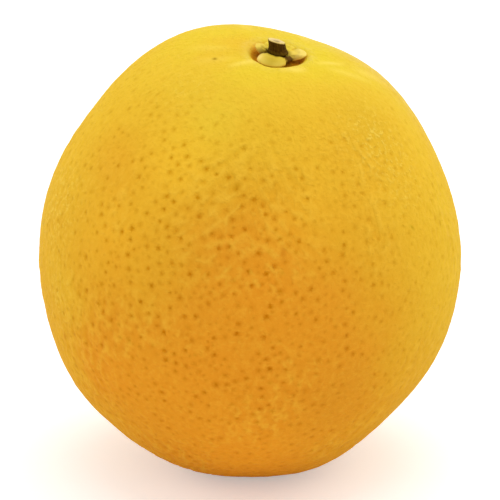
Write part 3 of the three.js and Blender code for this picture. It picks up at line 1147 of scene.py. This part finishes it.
def put_in_order(parts, place_of):
    """Sorts points or faces by place, as a spin leaves them in another order each run."""
    in_order = sorted(parts, key=lambda part: tuple(place_of(part)))
    ranks = {part: rank for rank, part in enumerate(in_order)}
    parts.sort(key=ranks.get)


stub = bmesh.new()
ring = [stub.verts.new((radius * MM, 0, height * MM)) for radius, height in STUB_PROFILE]
edges = [stub.edges.new(pair) for pair in zip(ring, ring[1:])]
bmesh.ops.spin(stub, geom=ring + edges, axis=UP, cent=(0, 0, 0), steps=STUB_STEPS, angle=math.tau,
               use_merge=True)
bmesh.ops.remove_doubles(stub, verts=stub.verts, dist=0.001 * MM)
bmesh.ops.recalc_face_normals(stub, faces=stub.faces)
put_in_order(stub.verts, lambda vert: vert.co)
put_in_order(stub.faces, lambda face: face.calc_center_median())
stub.normal_update()

stub_ways = []
for vert in stub.verts:
    turn = math.atan2(vert.co.y, vert.co.x)
    reach = math.hypot(vert.co.x, vert.co.y)
    height = vert.co.z
    stub_ways.extend((turn, height / MM, reach / MM))
    ridge = noise.noise(RIDGES_ROUND * Vector((math.cos(turn), math.sin(turn), 0))
                        + height / RIDGE_LENGTH * UP)
    side = smooth_step(reach, *BARK_REACH) * smooth_step(height, *BARK_RISE)
    cut = smooth_step(height, *CUT_HEIGHT)
    rough = CUT_ROUGHNESS * cut * noise.noise(vert.co / CUT_WAVE)
    rough -= CUT_SLANT.dot(vert.co) * smooth_step(height, *SLANT_HEIGHT)
    sunk = (ridge - BARK_SUNK) * BARK_RIDGE_DEPTH * side
    upright = Vector((vert.co.x, vert.co.y, 0))
    upright += upright.normalized() * sunk
    vert.co = stub_foot.lerp(stub_top, (height + rough) / STUB_RISE) + stalk_turn @ upright

stub_material, tree, output = new_material("stalk_wood")
FOOT_SHADE = (0.15, 0.085, 0.003, 1)  # the foot is still olive
WOOD_RAGGEDNESS = 0.3
FOOT_FADE = (0.7, 0.1, 0, 0.6)
CUT_EDGE = (1.98, 2.08)  # the height where the bark ends and the wood begins, in mm
WOOD_REACH = 2
STUB_BUMP = 0.15 * MM
way = stored_parts(tree, "way")
turn = way["X"]
height = way["Y"]
reach = way["Z"]
stub_place = add_node(tree, "ShaderNodeCombineXYZ", {
    "X": math_node(tree, "MULTIPLY", math_node(tree, "COSINE", turn), reach),
    "Y": height,
    "Z": math_node(tree, "MULTIPLY", math_node(tree, "SINE", turn), reach),
}).outputs[0]
bark_fibre = fibre_mask_at(tree, stub_place)
bark = ramp(tree, bark_fibre, (
    (0.35, (0.040, 0.014, 0.0004)),
    (0.5, (0.070, 0.030, 0.0008)),
    (0.65, (0.13, 0.065, 0.003)),
))
bark = mixed(tree, share_between(tree, height, *FOOT_FADE), bark, FOOT_SHADE)
ring_reading = math_node(tree, "ADD", reach, math_node(tree, "MULTIPLY", math_node(
    tree, "SUBTRACT", bark_fibre, 0.5), WOOD_RAGGEDNESS))
wood = ramp(tree, math_node(tree, "DIVIDE", ring_reading, WOOD_REACH), (
    (0.15, (0.76, 0.55, 0.23)),
    (0.35, (0.78, 0.57, 0.25)),
    (0.55, (0.84, 0.64, 0.27)),
    (0.70, (0.88, 0.70, 0.24)),
    (0.78, (0.6, 0.40, 0.1)),
))
colour = mixed(tree, share_between(tree, height, *CUT_EDGE), bark, wood)
stub_bump = add_node(tree, "ShaderNodeBump", {
    "Height": bark_fibre,
    "Distance": STUB_BUMP,
})
stub_shader = add_node(tree, "ShaderNodeBsdfPrincipled", {
    "Base Color": colour,
    "Roughness": 0.75,
    "Specular IOR Level": 0.05,
    "Normal": stub_bump.outputs["Normal"],
})
tree.links.new(stub_shader.outputs[0], output.inputs["Surface"])

stalk = new_piece("cut_stalk", stub, stub_material)
store_vectors(stalk, "way", stub_ways)
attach(stalk, "root")
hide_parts("stem_stub")
